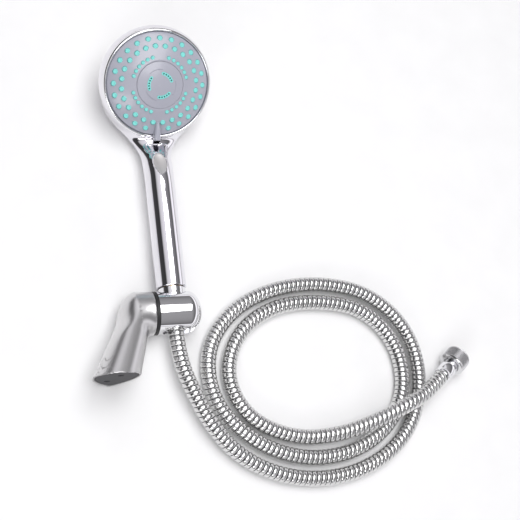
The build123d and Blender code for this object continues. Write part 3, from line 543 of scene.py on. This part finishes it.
# ---- holder: plated barrel with a domed end and a side slot for the hose ----------------------
# A grey liner in its bore takes the conical nut. It is bolted to the arm through the swivel.
liner_plastic = material("liner plastic", (0.16, 0.16, 0.17), 0.45, 0.0, 0.06, 900, 0.06)
finish_node("holder_barrel", bright_plate)
finish_node("seat_liner", liner_plastic)
for name in ("swivel_bolt", "spring_washer", "swivel_nut"):
    finish_node(name, steel)

# ---- friction ring: black acetal between holder and arm, which keeps the angle that is set ----
ring_black = material("friction ring black", (0.010, 0.010, 0.011), 0.5, 0.0, 0.06, 900, 0.06)
finish_node("friction_ring", ring_black)

# ---- arm: hollow plated casting from the swivel's round end to the shield-shaped wall face ----
# Satin chrome. The rim of the wall face is bare, and a dark plate with two screw holes lies in it.
arm_plate = material("arm satin chrome", (0.70, 0.695, 0.70), 0.30, 1.0, 0.02, 2500)


def circle_through(p, q, r):
    """Middle and radius of the circle through three points, each (x, z) and changing along the arm."""
    ax, az, bx, bz = q[0] - p[0], q[1] - p[1], r[0] - p[0], r[1] - p[1]
    cross = 2 * (ax * bz - az * bx)
    a2, b2 = ax * ax + az * az, bx * bx + bz * bz
    x, z = (bz * a2 - az * b2) / cross, (ax * b2 - bx * a2) / cross
    return p[0] + x, p[1] + z, np.hypot(x, z)


def stem_field(p):
    """The arm's stem: a round top and two bowed sides that meet at the foot."""
    x, y, z = p[..., 0], p[..., 1], p[..., 2]
    t = np.clip(-y / 59.0, -0.1, 1.05)

    def at(ring, wall):
        return tuple(a + (b - a) * t for a, b in zip(ring, wall))

    left, right = at((-29, 0), (-62.5, 21)), at((0, 0), (-19.5, 21))
    top, foot = at((-14.5, 19.3), (-41, 40)), at((-14.5, -19.3), (-41, -19))
    cx, cz, cr = circle_through(left, top, right)
    crown = np.hypot(x - cx, np.maximum(z - cz, 0)) - cr
    rx, rz, rr = circle_through(right, at((-4.1, -13.5), (-27.7, -2.2)), foot)
    lx, lz, lr = circle_through(foot, at((-24.9, -13.5), (-54.3, -2.2)), left)
    sides = soft_max(np.hypot(x - rx, z - rz) - rr, np.hypot(x - lx, z - lz) - lr, 2.0)
    return soft_max(crown, sides, 4.0)


def arm_field(p):
    """Round swivel end and stem in one, hollow behind the wall face."""
    x, y, z = p[..., 0], p[..., 1], p[..., 2]
    out = np.hypot(y, z)
    dome = (np.sqrt(((x + 14.5) / 14.5) ** 2 + (out / 19.3) ** 2) - 1) * 14.5
    knuckle = soft_max(np.where(x > -14.5, out - 19.3, dome), x, 1.0)
    stem = stem_field(p)
    whole = soft_min(knuckle, np.maximum(stem, y), 9.0)
    whole = np.maximum(whole, x)
    whole = soft_max(soft_max(whole, -59 - y, 0.7), -19.1 - z, 1.0)
    return np.maximum(whole, -np.maximum(stem + 1.7, y + 44))


arm = skin("bracket_arm", arm_field, (-68, -62, -24), (4, 24, 46), 1.0, swivel, arm_plate)
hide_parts("arm_shell")
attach(arm, "arm")
plate_grey = material("wall plate plastic", (0.085, 0.085, 0.09), 0.65, 0.0, 0.06, 900, 0.08)
plate_grey.node_tree.nodes["Principled BSDF"].inputs["Specular IOR Level"].default_value = 0.15


def plate_field(p):
    """The dark plate inside the wall face, with its two screw holes."""
    x, y, z = p[..., 0], p[..., 1], p[..., 2]
    plate = np.maximum(soft_max(stem_field(p) + 1.75, -58.4 - y, 0.5), y + 55.5)
    for hole_x, hole_z in ((-38.0, 24.0), (-46.0, 4.0)):
        plate = np.maximum(plate, 2.3 - np.hypot(x - hole_x, z - hole_z))
    return plate


plate = skin("screw_plate", plate_field, (-66, -61, -22), (-16, -53, 43), 0.8, swivel, plate_grey)
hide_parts("wall_plate")
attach(plate, "arm")

# ---- table and studio: white sweep, one large soft light overhead, grey walls -----------------
floor_paint = material("white table", (0.93, 0.93, 0.93), 0.7, 0.0, 0.05, 30)
floor = piece("floor", [(-6, -6, 0), (6, -6, 0), (6, 6, 0), (-6, 6, 0)], [(0, 1, 2, 3)], [floor_paint])


def soft_light(name, place, aim, width, height, power):
    """A rectangular soft light that faces the given point."""
    data = bpy.data.lights.new(name, "AREA")
    data.shape = "RECTANGLE"
    data.size, data.size_y, data.energy = width, height, power
    made = bpy.data.objects.new(name, data)
    bpy.context.scene.collection.objects.link(made)
    made.location = place
    made.rotation_mode = "QUATERNION"
    made.rotation_quaternion = (Vector(aim) - Vector(place)).to_track_quat("-Z", "Y")


soft_light("overhead", (0.12, 0.05, 1.7), (0.10, 0.0, 0), 0.9, 1.6, 19)
soft_light("front_fill", (-0.9, -1.5, 0.9), (0.05, 0.0, 0), 0.7, 0.5, 6)
# the walls and ceiling seen in the chrome: grey screens to the left, a bright strip to the right
world = bpy.data.worlds.new("studio")
bpy.context.scene.world = world
world.use_nodes = True
sky = world.node_tree
facing = sky.nodes.new("ShaderNodeTexCoord")
parts = sky.nodes.new("ShaderNodeSeparateXYZ")
across = sky.nodes.new("ShaderNodeMath")
across.operation = "ARCTAN2"
turn = sky.nodes.new("ShaderNodeMapRange")
turn.inputs["From Min"].default_value = -pi
turn.inputs["From Max"].default_value = pi
walls = sky.nodes.new("ShaderNodeValToRGB")
sky.links.new(facing.outputs["Generated"], parts.inputs["Vector"])
sky.links.new(parts.outputs["X"], across.inputs[0])
sky.links.new(parts.outputs["Z"], across.inputs[1])
sky.links.new(across.outputs["Value"], turn.inputs["Value"])
sky.links.new(turn.outputs["Result"], walls.inputs["Fac"])
sky.links.new(walls.outputs["Color"], sky.nodes["Background"].inputs["Color"])
screens = [(-96, 1.0), (-86, 0.62), (-80, 0.05), (-46, 0.035), (-36, 0.55), (-14, 0.75), (4, 0.62),
           (14, 0.30), (44, 0.16), (58, 0.10), (66, 0.95), (78, 0.95), (84, 0.30), (92, 0.8)]
for number, (degree, grey) in enumerate(screens):
    place = (degree + 180) / 360
    stop = walls.color_ramp.elements[number] if number < 2 else walls.color_ramp.elements.new(place)
    stop.position = place
    stop.color = (grey, grey * 0.985, grey * 1.02, 1)
sky.nodes["Background"].inputs["Strength"].default_value = 1.25
bpy.context.scene.view_settings.view_transform = "Standard"
